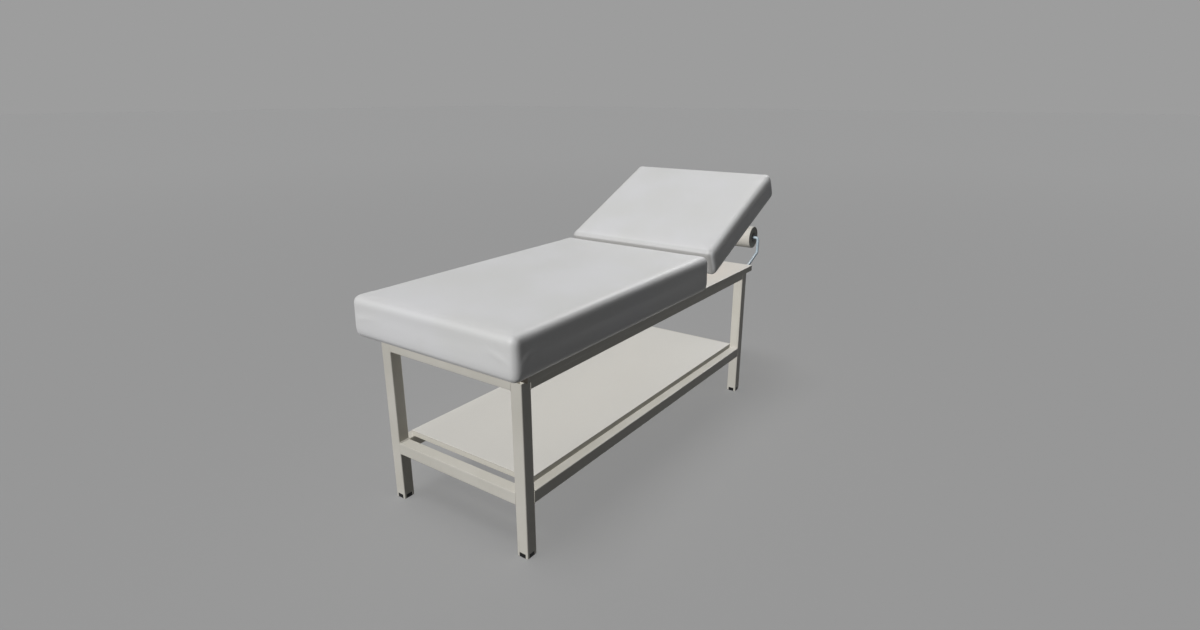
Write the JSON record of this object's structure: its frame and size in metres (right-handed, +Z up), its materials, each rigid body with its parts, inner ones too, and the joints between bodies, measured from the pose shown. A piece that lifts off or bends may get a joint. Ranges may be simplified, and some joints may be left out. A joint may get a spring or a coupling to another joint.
{
  "type": "examination table",
  "caption": "Fixed-height examination table with a square-tube frame, storage shelf, padded seat, tilting padded backrest on a sliding prop, and a paper roll holder behind the head end.",
  "frame": {"origin": "on the floor under the middle of the table's bounding box", "axes": "+X from the foot end to the head end, +Y to the left seen from the foot end, +Z up"},
  "size_m": [1.9188, 0.6858, 0.9967],
  "materials": {
    "cream_paint": "satin cream paint on square steel tube",
    "cream_laminate": "board with a satin cream laminate",
    "grey_vinyl": "pale grey upholstery vinyl with a soft gloss",
    "plywood": "bare plywood and softwood battens",
    "zinc_steel": "zinc-plated steel",
    "wire_paint": "pale blue-grey coated steel rod",
    "black_plastic": "black moulded plastic",
    "black_rubber": "black rubber",
    "paper": "wound white table paper",
    "card": "brown card core"
  },
  "bodies": {
    "table": {"deck_bearer": "cream_paint", "deck_panel": "cream_laminate", "glide_foot_left": "black_plastic", "glide_foot_right": "black_plastic", "glide_head_left": "black_plastic", "glide_head_right": "black_plastic", "guide_left": "zinc_steel", "guide_right": "zinc_steel", "hinge_leaf_left": "zinc_steel", "hinge_leaf_right": "zinc_steel", "hinge_pin_left": "zinc_steel", "hinge_pin_right": "zinc_steel", "holder_arm_left": "wire_paint", "holder_arm_right": "wire_paint", "holder_plate_left": "wire_paint", "holder_plate_right": "wire_paint", "leg_foot_left": "cream_paint", "leg_foot_right": "cream_paint", "leg_head_left": "cream_paint", "leg_head_right": "cream_paint", "lower_rail_foot": "cream_paint", "lower_rail_head": "cream_paint", "lower_rail_left": "cream_paint", "lower_rail_right": "cream_paint", "seat_board": "plywood", "seat_cushion": "grey_vinyl", "shelf_bearer_foot": "cream_paint", "shelf_bearer_head": "cream_paint", "shelf_panel": "cream_laminate", "top_rail_foot": "cream_paint", "top_rail_head": "cream_paint", "top_rail_left": "cream_paint", "top_rail_right": "cream_paint"},
    "backrest": {"back_batten_head": "plywood", "back_batten_hinge": "plywood", "back_batten_left": "plywood", "back_batten_right": "plywood", "back_board": "plywood", "back_bumper_left": "black_rubber", "back_bumper_right": "black_rubber", "back_cushion": "grey_vinyl", "hinge_strap_left": "zinc_steel", "hinge_strap_right": "zinc_steel", "prop_bracket_left": "zinc_steel", "prop_bracket_right": "zinc_steel", "prop_pin_left": "zinc_steel", "prop_pin_right": "zinc_steel"},
    "prop": {"prop_arm_left": "zinc_steel", "prop_arm_right": "zinc_steel", "prop_foot_rod": "zinc_steel"},
    "clamp_knob": {"clamp_knob": "black_plastic"},
    "paper_roll": {"paper_roll": "paper", "roll_core": "card", "roll_hub_left": "black_plastic", "roll_hub_right": "black_plastic"}
  },
  "joints": [
    {"name": "backrest_tilt", "type": "hinge", "parent": "table", "child": "backrest", "pos_m": [0.169, 0, 0.611], "axis": [0, -1, 0], "range_deg": [-24, 6]},
    {"name": "prop_fold", "type": "hinge", "parent": "backrest", "child": "prop", "pos_m": [0.37455, 0, 0.70252], "axis": [0, -1, 0], "range_deg": [-12, 48]},
    {"name": "clamp_knob_turn", "type": "hinge", "parent": "prop", "child": "clamp_knob", "pos_m": [0.5801, 0, 0.611], "axis": [0, 1, 0], "continuous": true},
    {"name": "paper_roll_spin", "type": "hinge", "parent": "table", "child": "paper_roll", "pos_m": [0.908, 0, 0.672], "axis": [0, 1, 0], "continuous": true}
  ],
  "couplings": [
    {"joint": "prop_fold", "follows": "backrest_tilt", "ratio": -2}
  ]
}
